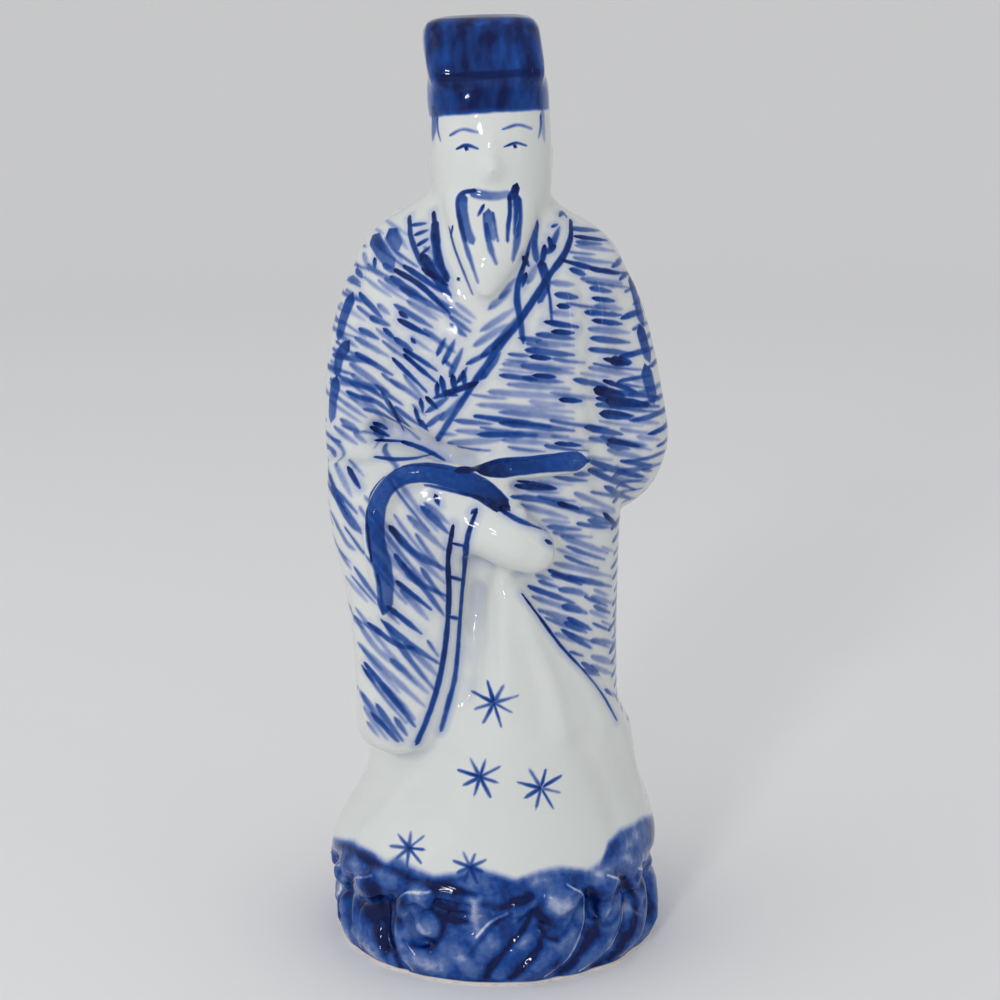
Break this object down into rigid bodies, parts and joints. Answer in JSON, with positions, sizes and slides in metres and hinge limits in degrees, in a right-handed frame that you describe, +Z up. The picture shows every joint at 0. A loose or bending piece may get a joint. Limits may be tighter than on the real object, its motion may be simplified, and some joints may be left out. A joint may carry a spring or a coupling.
{
  "type": "porcelain figurine of a wise man",
  "caption": "Glazed porcelain figurine of a bearded sage in a wide-sleeved robe and square cap, one hand before him with a fly whisk, standing on a round plinth of curling waves.",
  "frame": {"origin": "centre of the bounding box in plan, on the plane that the foot rim stands on", "axes": "+Z up along the figure, which faces -Y; +X is the viewer's right, the side of the arm that rests behind the back"},
  "size_m": [0.0672, 0.065, 0.1796],
  "materials": {
    "glazed_porcelain": "clear gloss glaze over white porcelain, painted in blue under the glaze"
  },
  "bodies": {
    "root": {"wise_man": "glazed_porcelain"}
  },
  "joints": []
}
